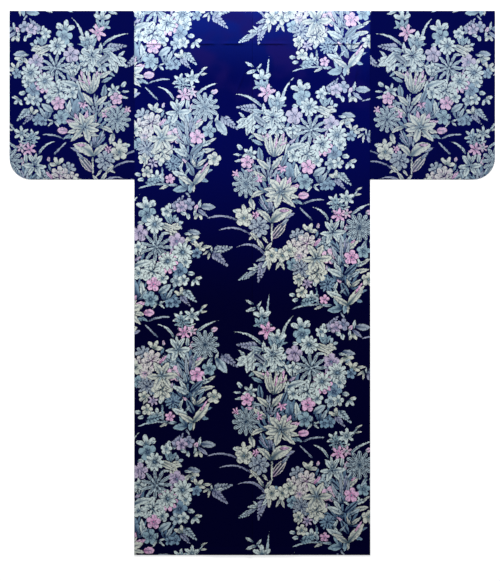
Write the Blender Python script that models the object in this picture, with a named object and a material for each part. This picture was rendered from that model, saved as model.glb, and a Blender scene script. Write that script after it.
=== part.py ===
"""Cotton yukata robe laid flat on its front, with its back up and its sleeves spread.

Every piece of cloth is first cut flat, as a maker cuts it, and is then folded and laid in place.
Metres, +Z up, +Y towards the neck. The origin is on the floor under the middle of the robe.
"""

import math

import bmesh
import bpy
from mathutils import Vector

# Finished sizes, in metres
LENGTH = 1.500  # shoulder fold to hem
BACK_WIDTH = 0.650  # both back panels, side seam to side seam
SLEEVE_WIDTH = 0.344
SLEEVE_DROP = 0.465
SLEEVE_ROUND = 0.060  # radius of the sleeve's lower outer corner
FRONT_WIDTH = 0.260  # a front panel, side seam to overlap panel
OVERLAP_WIDTH = 0.150  # an overlap panel at the hem
COLLAR_WIDTH = 0.060
FRONT_EDGE_LENGTH = 0.780  # hem to the lower end of the collar
COLLAR_FREE_HALF = 0.035  # middle of the back to the collar's free edge at the shoulder fold
CUFF_OPENING = 0.230  # hand opening, from the fold down; the sleeve is sewn shut below it
SIDE_OPENING_END = 0.360  # shoulder fold to the upper end of the side seam

# The cloth as it lies
CLOTH = 0.0010
GAP = 0.0003  # between pieces, and between layers
LAYER = CLOTH + GAP  # height from one layer to the next
RAMP = 0.060  # run over which a layer climbs the edge of the one beneath
RAMP_MARGIN = 0.006  # it has climbed this far before that edge

# Low relief of the back and the sleeves
HEM_TURN = 0.018
HEM_RISE = 0.0006
SEAM_TURN = 0.012  # seam allowance pressed to one side
SEAM_RISE = 0.0005
ARMHOLE_RISE = 0.0009
TUCK_BELOW_SHOULDER = 0.091
TUCK_RISE = 0.0007
TUCK_RUN = 0.004
TUCK_LAP = 0.016

TOP = LENGTH / 2
HEM = -LENGTH / 2
SIDE = BACK_WIDTH / 2
FRONT_SEAM = SIDE - FRONT_WIDTH  # half distance between the two front seams
FRONT_EDGE = OVERLAP_WIDTH - FRONT_SEAM  # how far an overlap panel passes the middle
COLLAR_END = HEM + FRONT_EDGE_LENGTH
TUCK = TOP - TUCK_BELOW_SHOULDER

# The fold at the top of the body and of each sleeve, seen from the side
FOLD_OUTER = (LAYER + CLOTH) / 2
FOLD_INNER = GAP / 2
FOLD_MIDDLE = (FOLD_OUTER + FOLD_INNER) / 2
HALF_ARC = math.pi * FOLD_MIDDLE / 2  # cloth from the fold's crest to where it lies flat
FOLD_Y = TOP - FOLD_OUTER

NAVY = (0.010, 0.012, 0.085)
NAVY_ROUGHNESS = 0.85

# Soft creases: middle and direction on the cloth, half length, half width and height
BACK_CREASES = [
    {"x": -0.020, "y": 0.560, "turn": 84, "half_length": 0.090, "half_width": 0.020, "rise": 0.0011},
    {"x": -0.055, "y": 0.600, "turn": 96, "half_length": 0.110, "half_width": 0.024, "rise": 0.0009},
    {"x": 0.285, "y": 0.545, "turn": 88, "half_length": 0.100, "half_width": 0.018, "rise": 0.0012},
    {"x": 0.245, "y": 0.500, "turn": 80, "half_length": 0.120, "half_width": 0.024, "rise": 0.0009},
    {"x": -0.275, "y": 0.480, "turn": 97, "half_length": 0.130, "half_width": 0.024, "rise": 0.0010},
    {"x": 0.150, "y": 0.120, "turn": 87, "half_length": 0.260, "half_width": 0.030, "rise": 0.0009},
    {"x": -0.190, "y": -0.080, "turn": 92, "half_length": 0.300, "half_width": 0.032, "rise": 0.0009},
    {"x": 0.220, "y": -0.420, "turn": 94, "half_length": 0.240, "half_width": 0.030, "rise": 0.0010},
    {"x": -0.110, "y": -0.500, "turn": 85, "half_length": 0.200, "half_width": 0.030, "rise": 0.0008},
]
SLEEVE_CREASES = [
    {"x": 0.400, "y": 0.580, "turn": 82, "half_length": 0.130, "half_width": 0.026, "rise": 0.0010},
    {"x": 0.520, "y": 0.520, "turn": 95, "half_length": 0.160, "half_width": 0.030, "rise": 0.0009},
    {"x": 0.605, "y": 0.400, "turn": 70, "half_length": 0.090, "half_width": 0.026, "rise": 0.0009},
]


def ease(share):
    """0 to 1 with level ends."""
    share = min(1.0, max(0.0, share))
    return share * share * (3 - 2 * share)


def spaced(start, end, most):
    """Places from start to end, no further apart than most, without the end."""
    count = max(1, math.ceil(abs(end - start) / most - 1e-9))
    return [start + (end - start) * i / count for i in range(count)]


def crease_height(x, y, creases):
    """Rise of the soft creases at a point."""
    height = 0.0
    for crease in creases:
        turn = math.radians(crease["turn"])
        dx = x - crease["x"]
        dy = y - crease["y"]
        along = abs(dx * math.cos(turn) + dy * math.sin(turn)) / crease["half_length"]
        across = abs(dy * math.cos(turn) - dx * math.sin(turn)) / crease["half_width"]
        height += crease["rise"] * ease(1 - along) * ease(1 - across)
    return height


def left_edge(y):
    """X of the free edge of the left front, or of its collar. The right front's is its mirror."""
    if y <= COLLAR_END:
        return FRONT_EDGE
    share = (y - COLLAR_END) / (TOP - COLLAR_END)
    return FRONT_EDGE - (FRONT_EDGE + COLLAR_FREE_HALF) * share


def left_seam(y):
    """X of the seam between the left collar and the left front."""
    lean = math.atan2(FRONT_EDGE + COLLAR_FREE_HALF, TOP - COLLAR_END)
    return left_edge(y) - COLLAR_WIDTH / math.cos(lean)


def right_front_level(x, y):
    """Layers under the right front, which climbs the left front's edge."""
    return ease((RAMP_MARGIN + RAMP + left_edge(y) - x) / RAMP)


def back_level(x, y):
    """Layers under the back: one front at the sides, and both in the middle."""
    return 1 + ease((RAMP_MARGIN + RAMP + left_edge(y) - abs(x)) / RAMP)


def hem_rise(y):
    """Turned hem along the bottom."""
    return HEM_RISE * ease((HEM + HEM_TURN - y) / TUCK_RUN + 1)


def back_relief(x, y):
    """Seam allowances, tuck, hem and creases of the back, as a rise over the lying cloth."""
    rise = hem_rise(y) + crease_height(x, y, BACK_CREASES)
    if x < 0:
        rise += SEAM_RISE * ease((SEAM_TURN + x) / TUCK_RUN)
    rise += ARMHOLE_RISE * ease((abs(x) - SIDE + SEAM_TURN + TUCK_RUN) / TUCK_RUN) * ease(
        (y - TOP + SLEEVE_DROP + SEAM_TURN) / SEAM_TURN
    )
    below = ease((y - TUCK) / TUCK_RUN + 1)
    above = ease((TUCK + TUCK_LAP - y) / TUCK_LAP)
    return rise + TUCK_RISE * below * above


def sleeve_relief(x, y):
    """Cuff turning and creases of a sleeve's upper layer."""
    cuff = abs(x) - SIDE - SLEEVE_WIDTH + HEM_TURN
    turned = HEM_RISE * ease(cuff / TUCK_RUN + 1)
    return turned + crease_height(abs(x), y, SLEEVE_CREASES)


def folded(upper, lower):
    """Placing of cloth that is folded at the top.

    The cloth is cut flat with the fold's crest at 0, the upper layer below it and the lower
    layer above. upper and lower give the height of a layer's underside at a point.
    """

    def place(x, along):
        if abs(along) < HALF_ARC:
            angle = along / FOLD_MIDDLE
            outer = Vector((x, FOLD_Y + FOLD_OUTER * math.cos(angle), FOLD_OUTER * (1 - math.sin(angle))))
            inner = Vector((x, FOLD_Y + FOLD_INNER * math.cos(angle), FOLD_OUTER - FOLD_INNER * math.sin(angle)))
            return outer, inner
        y = FOLD_Y - (abs(along) - HALF_ARC)
        if along < 0:
            z = upper(x, y)
            return Vector((x, y, z + CLOTH)), Vector((x, y, z))
        z = lower(x, y)
        return Vector((x, y, z)), Vector((x, y, z + CLOTH))

    return place


def along_of(y):
    """Length of cloth from the fold's crest down to y."""
    return HALF_ARC + FOLD_Y - y


def cut_flat(outline, across, along):
    """A flat piece of cloth with that outline, with crease lines at those places."""
    cloth = bmesh.new()
    cloth.faces.new([cloth.verts.new((x, y, 0)) for x, y in outline])
    lines = [(Vector((x, 0, 0)), Vector((1, 0, 0))) for x in across]
    lines += [(Vector((0, y, 0)), Vector((0, 1, 0))) for y in along]
    for point, normal in lines:
        everything = cloth.verts[:] + cloth.edges[:] + cloth.faces[:]
        bmesh.ops.bisect_plane(
            cloth, geom=everything, dist=1e-6, plane_co=point, plane_no=normal
        )
    bmesh.ops.triangulate(cloth, faces=cloth.faces[:])
    return cloth


def finish(name, solid):
    """Turns the mesh into the named piece, with its own material."""
    bmesh.ops.recalc_face_normals(solid, faces=solid.faces)
    if solid.calc_volume(signed=True) < 0:
        bmesh.ops.reverse_faces(solid, faces=solid.faces)
    mesh = bpy.data.meshes.new(name)
    solid.to_mesh(mesh)
    solid.free()
    material = bpy.data.materials.new(name)
    material.use_nodes = True
    shader = material.node_tree.nodes["Principled BSDF"]
    shader.inputs["Base Color"].default_value = (*NAVY, 1)
    shader.inputs["Roughness"].default_value = NAVY_ROUGHNESS
    shader.inputs["Metallic"].default_value = 0.0
    mesh.materials.append(material)
    piece = bpy.data.objects.new(name, mesh)
    bpy.context.scene.collection.objects.link(piece)
    return piece


def unsewn(x, along):
    """No seam joins this edge to the layer beneath it."""
    return False


def thicken(name, cloth, place, sewn=unsewn, inside=None):
    """Gives flat cloth its thickness where place lays it, and closes its edges.

    Where sewn says so, the edges of the two layers are one seam, a cloth's thickness wide.
    inside moves a point of that seam in from the edge.
    """
    solid = bmesh.new()
    edges = [edge for edge in cloth.edges if edge.is_boundary]
    seams = [edge for edge in edges if sewn(*(edge.verts[0].co + edge.verts[1].co).xy / 2)]
    in_seam = [vertex for edge in seams for vertex in edge.verts]
    outer = {}
    inner = {}

    def beneath(vertex):
        spot = Vector((vertex.co.x, -vertex.co.y, 0))
        return min(in_seam, key=lambda other: (other.co - spot).length)

    for vertex in cloth.verts:
        spot = vertex.co.xy
        outer[vertex] = solid.verts.new(place(*spot)[0])
        inner[vertex] = solid.verts.new(place(*(inside(*spot) if vertex in in_seam else spot))[1])
    for face in cloth.faces:
        solid.faces.new([outer[v] for v in face.verts])
        solid.faces.new([inner[v] for v in reversed(face.verts)])
    for edge in edges:
        first, second = edge.verts
        if edge not in seams:
            solid.faces.new([outer[second], outer[first], inner[first], inner[second]])
        elif first.co.y < 0:
            under_first = beneath(first)
            under_second = beneath(second)
            for skin in (outer, inner):
                solid.faces.new([skin[first], skin[second], skin[under_second], skin[under_first]])
            for end, under in ((first, under_first), (second, under_second)):
                if in_seam.count(end) == 1:
                    solid.faces.new([outer[end], inner[end], inner[under], outer[under]])
    cloth.free()
    bmesh.ops.triangulate(solid, faces=[f for f in solid.faces if len(f.verts) > 3])
    return finish(name, solid)


def body(name, side):
    """One body panel: back and front in one length, folded over the shoulder. side is -1 for the left."""

    def upper(x, y):
        return LAYER * back_level(x, y) + back_relief(x, y) * shoulder_fade(y)

    def lower(x, y):
        return 0.0 if side < 0 else LAYER * right_front_level(x, y)

    hem = along_of(HEM)
    seam = FRONT_SEAM + GAP / 2
    middle = GAP / 2
    tip = tip_height()
    neck = -left_seam(TOP) + GAP
    outline = [
        (middle, -hem),
        (SIDE, -hem),
        (SIDE, hem),
        (seam, hem),
        (seam, along_of(tip)),
        (neck, HALF_ARC),
        (neck, -HALF_ARC),
        (middle, -HALF_ARC),
    ]
    across = spaced(0.02, 0.07, 0.018) + spaced(0.07, RAMP + FRONT_EDGE + 0.01, 0.015)
    across += spaced(RAMP + FRONT_EDGE + 0.01, SIDE - 0.045, 0.030)
    across += [SEAM_TURN, SIDE - 0.045, SIDE - 0.030, SIDE - SEAM_TURN - TUCK_RUN, SIDE - SEAM_TURN]
    side_seam = TOP - SIDE_OPENING_END
    rows = spaced(HEM + HEM_TURN + 0.02, COLLAR_END - 0.2, 0.055)
    rows += spaced(COLLAR_END - 0.2, side_seam, 0.034)
    rows += spaced(side_seam, TUCK - 0.07, 0.034)
    rows += [HEM + HEM_TURN, HEM + HEM_TURN - TUCK_RUN]
    along = [along_of(y) for y in rows]
    along += [-y for y in along]
    tuck_rows = [TUCK - 0.07, TUCK - 0.035, TUCK - TUCK_RUN, TUCK, TUCK + TUCK_LAP / 2, TUCK + TUCK_LAP]
    along += [-along_of(y) for y in tuck_rows + [TUCK + 0.05]]
    along += [0.0, HALF_ARC, -HALF_ARC, HALF_ARC / 2, -HALF_ARC / 2, -HALF_ARC - 0.012]

    def sewn(x, along):
        return abs(x) > SIDE - GAP and abs(along) > along_of(side_seam)

    def inside(x, along):
        return x - side * CLOTH, along

    cloth = cut_flat([(side * x, y) for x, y in outline], [side * x for x in across], along)
    return thicken(name, cloth, folded(upper, lower), sewn, inside)


def shoulder_fade(y):
    """The relief fades out where the cloth turns over the fold."""
    return ease((FOLD_Y - y) / SEAM_TURN)


def tip_height():
    """Y of the overlap panel's upper tip, where the collar's seam meets the front seam."""
    low = left_seam(COLLAR_END + 1e-9)
    high = left_seam(TOP)
    share = (low + FRONT_SEAM) / (low - high)
    return COLLAR_END + share * (TOP - COLLAR_END)


def sleeve(name, side):
    """One sleeve: a length of cloth folded at the top, with its lower outer corner rounded."""

    def upper(x, y):
        return LAYER + sleeve_relief(x, y) * shoulder_fade(y)

    def lower(x, y):
        return 0.0

    inner = SIDE + GAP
    outer = SIDE + SLEEVE_WIDTH
    bottom = along_of(TOP - SLEEVE_DROP)
    steps = 8
    outline = [(inner, -bottom)]
    for i in range(steps + 1):
        angle = math.pi / 2 * i / steps
        x = outer - SLEEVE_ROUND + SLEEVE_ROUND * math.sin(angle)
        outline.append((x, -bottom + SLEEVE_ROUND - SLEEVE_ROUND * math.cos(angle)))
    outline += [(x, -y) for x, y in reversed(outline)]
    across = spaced(inner + 0.03, outer - HEM_TURN - 0.02, 0.026)
    across += [outer - HEM_TURN, outer - HEM_TURN - TUCK_RUN]
    cuff_end = TOP - CUFF_OPENING
    rows = spaced(TOP - SLEEVE_DROP, cuff_end, 0.045)[1:] + spaced(cuff_end, TOP - 0.03, 0.045)
    along = [along_of(y) for y in rows]
    along += [-y for y in along]
    along += [0.0, HALF_ARC, -HALF_ARC, HALF_ARC / 2, -HALF_ARC / 2, -HALF_ARC - 0.012]

    def sewn(x, along):
        return abs(x) > inner + GAP and abs(along) > along_of(cuff_end)

    def inside(x, along):
        core_x = min(abs(x), outer - SLEEVE_ROUND)
        core = Vector((side * core_x, math.copysign(min(abs(along), bottom - SLEEVE_ROUND), along)))
        edge = Vector((x, along))
        return edge + (core - edge).normalized() * CLOTH

    cloth = cut_flat([(side * x, y) for x, y in outline], [side * x for x in across], along)
    return thicken(name, cloth, folded(upper, lower), sewn, inside)


def overlap(name, side):
    """One overlap panel, from the hem up to its tip on the collar's seam."""

    def place(x, y):
        z = 0.0 if side < 0 else LAYER * right_front_level(x, y)
        return Vector((x, y, z)), Vector((x, y, z + CLOTH))

    seam = -FRONT_SEAM + GAP / 2
    edge = FRONT_EDGE
    inside = left_seam(COLLAR_END + 1e-9) - GAP
    outline = [
        (seam, HEM),
        (edge, HEM),
        (edge, COLLAR_END - GAP),
        (inside, COLLAR_END - GAP),
        (seam, tip_height() - 6 * GAP),
    ]
    across = [-0.050, -0.035, -0.015, 0.010, 0.035, 0.060]
    along = spaced(HEM, COLLAR_END - GAP, 0.11)[1:] + [COLLAR_END - GAP]
    along += spaced(COLLAR_END - GAP, tip_height() - 0.03, 0.035)[1:]
    cloth = cut_flat([(-side * x, y) for x, y in outline], [-side * x for x in across], along)
    return thicken(name, cloth, place)


def collar_sections():
    """Seam point and free point of the collar, section by section, from the left end to the right."""
    neck_seam = (left_seam(TOP), FOLD_Y)
    neck_free_y = FOLD_Y - COLLAR_WIDTH
    neck_free = (left_edge(neck_free_y), neck_free_y)
    rows = spaced(COLLAR_END, neck_free_y - 0.02, 0.034)
    left = [((left_seam(max(y, COLLAR_END + 1e-9)), y), (left_edge(y), y)) for y in rows]
    left.append((neck_seam, neck_free))
    right = [((-seam[0], seam[1]), (-free[0], free[1])) for seam, free in reversed(left)]
    return left, right


def collar(name):
    """The collar: a band from the left front's edge round the neck, under the back, to the right front's edge."""
    left, right = collar_sections()
    solid = bmesh.new()
    rings = []
    columns = 4
    for sections, on_right in ((left, False), (right, True)):
        for seam, free in sections:
            points = []
            for i in range(columns + 1):
                share = i / columns
                x = seam[0] + (free[0] - seam[0]) * share
                y = seam[1] + (free[1] - seam[1]) * share
                z = LAYER * right_front_level(x, y) if on_right else 0.0
                points.append((x, y, z))
            under = [solid.verts.new(p) for p in points]
            over = [solid.verts.new((x, y, z + CLOTH)) for x, y, z in reversed(points)]
            rings.append(under + over)
    for ring, following in zip(rings, rings[1:]):
        for i in range(len(ring)):
            j = (i + 1) % len(ring)
            solid.faces.new([ring[i], ring[j], following[j], following[i]])
    for ring in (rings[0], rings[-1]):
        for i in range(columns):
            last = len(ring) - 1
            solid.faces.new([ring[i], ring[i + 1], ring[last - i - 1], ring[last - i]])
    bmesh.ops.triangulate(solid, faces=solid.faces[:])
    return finish(name, solid)


def main():
    for old in list(bpy.data.objects):
        bpy.data.objects.remove(old)
    body("body_left", -1)
    body("body_right", 1)
    sleeve("sleeve_left", -1)
    sleeve("sleeve_right", 1)
    overlap("overlap_left", -1)
    overlap("overlap_right", 1)
    collar("collar")


main()
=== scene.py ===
# %% [markdown]
# # A printed cotton yukata, laid out flat
#
# A yukata is cut from one narrow bolt of cotton: two body panels that run unbroken over the
# shoulders, two sleeves, two overlap panels and a collar band. Here it lies on its front with
# its back up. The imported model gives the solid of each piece, and this file dresses each one in
# a thin printed shell of the same form.

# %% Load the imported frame
import math
import random
from collections import namedtuple

import bmesh
import bpy
import numpy as np
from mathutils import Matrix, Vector
from mathutils.geometry import delaunay_2d_cdt


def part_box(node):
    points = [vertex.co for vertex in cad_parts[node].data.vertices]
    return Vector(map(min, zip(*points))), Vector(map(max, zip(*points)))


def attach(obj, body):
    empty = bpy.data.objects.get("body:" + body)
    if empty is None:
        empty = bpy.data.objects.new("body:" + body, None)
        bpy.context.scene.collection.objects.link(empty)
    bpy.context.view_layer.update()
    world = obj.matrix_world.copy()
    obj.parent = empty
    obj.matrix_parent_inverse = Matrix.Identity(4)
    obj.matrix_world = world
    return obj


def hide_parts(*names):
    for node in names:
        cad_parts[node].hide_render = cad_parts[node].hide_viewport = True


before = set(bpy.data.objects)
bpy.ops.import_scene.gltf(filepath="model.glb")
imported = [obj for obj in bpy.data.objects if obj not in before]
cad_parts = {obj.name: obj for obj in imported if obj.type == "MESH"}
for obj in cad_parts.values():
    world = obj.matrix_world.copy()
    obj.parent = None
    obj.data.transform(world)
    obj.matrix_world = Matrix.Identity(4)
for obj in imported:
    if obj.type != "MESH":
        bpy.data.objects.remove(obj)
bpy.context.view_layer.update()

print("pieces of cloth in the frame:", ", ".join(sorted(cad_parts)))

# %% [markdown]
# ## How the cloth lies
#
# The shells follow the solids, so the heights come from the same few sizes: the cloth's
# thickness, the small gap between layers, and the long gentle ramp where a layer climbs over the
# edge of the one beneath it. An alternative is to measure the solids with rays, but their coarse
# faces would then show in the smooth cloth.

# %% Sizes of the robe
BODY_LOW, BODY_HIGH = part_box("body_right")
SLEEVE_LOW, SLEEVE_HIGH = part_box("sleeve_right")
TOP = BODY_HIGH[1]
HEM = BODY_LOW[1]
SIDE = BODY_HIGH[0]
SLEEVE_END = SLEEVE_HIGH[0]
SLEEVE_BOTTOM = SLEEVE_LOW[1]
SLEEVE_ROUND = 0.060
CUFF_END = TOP - 0.230  # lower end of the hand opening
SIDE_SEAM_END = TOP - 0.360
FRONT_WIDTH = 0.260
OVERLAP_WIDTH = 0.150
COLLAR_WIDTH = 0.060
COLLAR_END = HEM + 0.780
COLLAR_FREE_HALF = 0.035
FRONT_SEAM = SIDE - FRONT_WIDTH
FRONT_EDGE = OVERLAP_WIDTH - FRONT_SEAM
print(f"robe {TOP - HEM:.3f} m long, {2 * SLEEVE_END:.3f} m across the sleeves")

# %% Layers, ramps and the fold at the shoulder
CLOTH = 0.0010
GAP = 0.0003  # between pieces, and between layers
LAYER = CLOTH + GAP  # height from one layer to the next
RAMP = 0.060  # run over which a layer climbs the edge of the one beneath
RAMP_MARGIN = 0.006  # it has climbed this far before that edge
FOLD_OUTER = (LAYER + CLOTH) / 2  # radius of the fold's outer skin
FOLD_INNER = GAP / 2
FOLD_MIDDLE = (FOLD_OUTER + FOLD_INNER) / 2
HALF_ARC = math.pi * FOLD_MIDDLE / 2  # cloth from the fold's crest to where it lies flat
FOLD_Y = TOP - FOLD_OUTER


def ease(share):
    """0 to 1 with level ends."""
    share = np.clip(share, 0, 1)
    return share * share * (3 - 2 * share)


def left_edge(y):
    """X of the free edge of the left front, or of its collar."""
    share = np.clip((y - COLLAR_END) / (TOP - COLLAR_END), 0, 1)
    return FRONT_EDGE - (FRONT_EDGE + COLLAR_FREE_HALF) * share


def left_seam(y):
    """X of the seam between the left collar and the left front."""
    lean = math.atan2(FRONT_EDGE + COLLAR_FREE_HALF, TOP - COLLAR_END)
    return left_edge(y) - COLLAR_WIDTH / math.cos(lean)


def right_front_height(x, y):
    return LAYER * ease((RAMP_MARGIN + RAMP + left_edge(y) - x) / RAMP)


def back_height(x, y):
    return LAYER * (1 + ease((RAMP_MARGIN + RAMP + left_edge(y) - abs(x)) / RAMP))


print(f"the back lies {1000 * back_height(0.3, 0.0):.1f} to {1000 * back_height(0.0, 0.0):.1f} mm up")

# %% [markdown]
# ## Creases, hems and seams
#
# Laid cloth is never quite flat. It keeps soft folds from the shelf, and each seam and hem is a
# narrow raised band where the cloth is doubled. All of them only lift the cloth, so no layer
# sinks into the one beneath.

# %% Relief of the back and the sleeves
HEM_TURN = 0.018
HEM_RISE = 0.0006
SEAM_TURN = 0.012  # seam allowance pressed to one side
SEAM_RISE = 0.0016
ARMHOLE_RISE = 0.0012
TUCK = TOP - 0.091
TUCK_RISE = 0.0030
TUCK_RUN = 0.0035
TUCK_LAP = 0.007
# Where the tuck stands up: the middle of each stretch across the back, and half its length
TUCK_TOUCHES = [(-0.270, 0.040), (-0.126, 0.028), (-0.052, 0.036), (0.052, 0.050), (0.255, 0.060)]
Crease = namedtuple("Crease", "x y turn half_length half_width rise")  # turn in degrees from +X
BACK_CREASES = [
    Crease(-0.031, 0.559, 68, 0.070, 0.007, 0.0026),
    Crease(-0.062, 0.565, 93, 0.100, 0.012, 0.0022),
    Crease(0.046, 0.585, 80, 0.090, 0.014, 0.0018),
    Crease(0.283, 0.570, 84, 0.060, 0.009, 0.0028),
    Crease(0.312, 0.555, 96, 0.055, 0.008, 0.0024),
    Crease(0.262, 0.470, 79, 0.110, 0.016, 0.0020),
    Crease(-0.280, 0.490, 98, 0.120, 0.016, 0.0022),
    Crease(-0.170, 0.600, 84, 0.070, 0.013, 0.0018),
    Crease(0.150, 0.120, 87, 0.260, 0.022, 0.0020),
    Crease(-0.190, -0.080, 92, 0.300, 0.024, 0.0020),
    Crease(0.040, -0.250, 81, 0.170, 0.016, 0.0016),
    Crease(0.220, -0.420, 94, 0.240, 0.022, 0.0021),
    Crease(-0.110, -0.500, 85, 0.200, 0.020, 0.0018),
]
SLEEVE_CREASES = [
    Crease(0.395, 0.590, 81, 0.120, 0.016, 0.0022),
    Crease(0.455, 0.430, 97, 0.110, 0.018, 0.0018),
    Crease(0.535, 0.545, 94, 0.150, 0.020, 0.0020),
    Crease(0.610, 0.400, 68, 0.080, 0.016, 0.0020),
]


def crease_height(x, y, creases):
    height = 0
    for crease in creases:
        turn = math.radians(crease.turn)
        dx = x - crease.x
        dy = y - crease.y
        along = abs(dx * math.cos(turn) + dy * math.sin(turn)) / crease.half_length
        across = abs(dy * math.cos(turn) - dx * math.sin(turn)) / crease.half_width
        height = height + crease.rise * ease(1 - along) * ease(1 - across)
    return height


def crease_points(creases):
    """Points close together over each crease, so that the mesh can follow it."""
    points = []
    for crease in creases:
        turn = math.radians(crease.turn)
        for i in range(-16, 17):
            for j in (-1, -0.6, -0.25, 0.05, 0.35, 0.7, 1):
                a = i / 16 * crease.half_length
                b = j * crease.half_width
                x = crease.x + a * math.cos(turn) - b * math.sin(turn)
                points.append((x, crease.y + a * math.sin(turn) + b * math.cos(turn)))
    return points


def shoulder_fade(y):
    """Relief dies away where the cloth turns over the fold."""
    return ease((FOLD_Y - y) / SEAM_TURN)


def back_relief(x, y):
    rise = HEM_RISE * ease((HEM + HEM_TURN - y) / TUCK_RUN + 1)
    rise = rise + crease_height(x, y, BACK_CREASES)
    rise = rise + SEAM_RISE * ease((SEAM_TURN + x) / TUCK_RUN) * (x < 0)
    armhole = ease((abs(x) - SIDE + SEAM_TURN + TUCK_RUN) / TUCK_RUN)
    rise = rise + ARMHOLE_RISE * armhole * ease((y - SLEEVE_BOTTOM + SEAM_TURN) / SEAM_TURN)
    below = ease((y - TUCK) / TUCK_RUN + 1)
    above = ease((TUCK + TUCK_LAP - y) / TUCK_LAP)
    uneven = 0.15 + 0.85 * sum(ease(2 - 2 * abs(x - middle) / half) for middle, half in TUCK_TOUCHES)
    return (rise + TUCK_RISE * uneven * below * above) * shoulder_fade(y)


def sleeve_relief(x, y):
    cuff = HEM_RISE * ease((abs(x) - SLEEVE_END + HEM_TURN) / TUCK_RUN + 1)
    return (cuff + crease_height(abs(x), y, SLEEVE_CREASES)) * shoulder_fade(y)


def along_of(y):
    """Length of cloth from the crest of the shoulder fold down to y."""
    return HALF_ARC + FOLD_Y - y


def folded(upper, lower):
    """Lays the outer and inner skin of folded cloth. Its upper layer has a negative length along."""

    def place(x, along):
        angle = np.clip(along, -HALF_ARC, HALF_ARC) / FOLD_MIDDLE
        y = FOLD_Y - np.maximum(abs(along) - HALF_ARC, 0)
        on_top = along <= 0
        under = np.where(on_top, upper(x, y), lower(x, y))
        turning = abs(along) < HALF_ARC
        skins = []
        for radius, raised in ((FOLD_OUTER, on_top), (FOLD_INNER, ~on_top)):
            z = np.where(turning, FOLD_OUTER - radius * np.sin(angle), under + CLOTH * raised)
            skins.append(np.stack([x, np.where(turning, FOLD_Y + radius * np.cos(angle), y), z], 1))
        return skins

    return place


print("creases:", len(BACK_CREASES), "on the back,", len(SLEEVE_CREASES), "on each sleeve")

# %% [markdown]
# ## The printer's petal
#
# The print shows bunches of lilies, chrysanthemums, bellflowers, daisies, bush clover and long
# grass blades. Every one is built up from a single shape, a petal with a root, a tip and a bend.
# The cloth's mesh is cut along the petals, and each face remembers which petal it belongs to, so
# the material can draw that petal's edge, ribs and shading exactly at any distance. An image
# would go soft close up, and raised petals would look like cut paper on the cloth.

# %% Petals and inks
SQUARE = 0.002757  # one square of the chart on which the bunches are set out, in metres
RIBBED, LOOPED, HATCHED, PLAIN = 0, 1, 2, 3
Petal = namedtuple("Petal", "x y turn length half root tip arch style ink")
INKS = {  # colour at the root, colour at the tip
    "white": ((0.27, 0.40, 0.49), (0.88, 0.94, 0.93)),
    "cream": ((0.38, 0.46, 0.46), (0.89, 0.91, 0.86)),
    "pale": ((0.22, 0.33, 0.43), (0.76, 0.84, 0.87)),
    "teal": ((0.10, 0.20, 0.34), (0.62, 0.74, 0.79)),
    "deep": ((0.06, 0.13, 0.30), (0.44, 0.56, 0.66)),
    "slate": ((0.08, 0.16, 0.34), (0.54, 0.66, 0.75)),
    "grey": ((0.24, 0.30, 0.44), (0.70, 0.75, 0.80)),
    "mauve": ((0.29, 0.31, 0.48), (0.67, 0.69, 0.79)),
    "lilac": ((0.46, 0.42, 0.60), (0.82, 0.76, 0.87)),
    "blush": ((0.72, 0.78, 0.77), (0.95, 0.80, 0.91)),
    "pink": ((0.84, 0.54, 0.75), (0.97, 0.78, 0.92)),
    "rose": ((0.74, 0.60, 0.74), (0.90, 0.88, 0.87)),
}


def linear(colour):
    """A colour as it looks on a screen, as the light that it sends back."""
    return tuple(((c + 0.055) / 1.055) ** 2.4 if c > 0.04 else c / 12.92 for c in colour)


def petal(x, y, turn, length, half, root, tip, ink, style=RIBBED, arch=0.0):
    return Petal(x, y, turn, length, half, root, tip, arch, style, ink)


def turned(petals, x, y, turn):
    """A motif's petals, moved to their place on the chart."""
    cos = math.cos(math.radians(turn))
    sin = math.sin(math.radians(turn))
    return [
        p._replace(x=x + p.x * cos - p.y * sin, y=y + p.x * sin + p.y * cos, turn=p.turn + turn)
        for p in petals
    ]


def ring(count, inner, outer, half, root, tip, ink, style=RIBBED, start=0.0, arch=0.0):
    """Petals round a centre, from one radius to another."""
    petals = []
    for i in range(count):
        angle = start + 360 * i / count
        one = petal(inner, 0, 0, outer - inner, half, root, tip, ink, style, arch)
        petals += turned([one], 0, 0, angle)
    return petals


def disc(radius, ink):
    return [petal(-radius, 0, 0, 2 * radius, radius, 0.5, 0.5, ink, PLAIN)]


print(len(INKS), "inks mixed")

# %% [markdown]
# ## Flowers and leaves
#
# Each flower is a short function of its size and ink. Open flowers are rings of petals, the
# outer ring first, so that later petals lie on top. Side views are fans of petals from one point.

# %% Leaves and stems
def leaf(size, ink, arch):
    return [petal(0, 0, 0, size, 0.17 * size, 0.75, 0.9, ink, RIBBED, arch)]


def broad(size, ink, arch):
    return [petal(0, 0, 0, size, 0.25 * size, 0.7, 0.8, ink, RIBBED, arch)]


def hatched(size, ink, arch):
    return [petal(0, 0, 0, size, 0.21 * size, 0.7, 0.8, ink, HATCHED, arch)]


def sliver(size, ink, arch):
    return [petal(0, 0, 0, size, 0.09 * size, 0.7, 0.8, ink, PLAIN, arch)]


def sprig(size, ink, arch):
    petals = []
    for turn, reach in ((-44, 0.7), (42, 0.75), (-21, 0.9), (20, 0.85), (-2, 1.0)):
        petals.append(petal(0, 0, turn, reach * size, 0.075 * size, 0.7, 0.6, ink, RIBBED, turn / 400))
    return petals


def blade(size, ink, arch):
    return [petal(0, 0, 0, size, 0.8 + 0.03 * size, 0.3, 0.75, ink, PLAIN, arch)]


def stem(size, ink, arch):
    return [petal(0, 0, 0, size, 1.1, 0.1, 0.15, ink, PLAIN, arch)]


def bud(size, ink, arch):
    return [petal(0, 0, 0, size, 0.36 * size, 0.5, 0.5, ink)]


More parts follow.
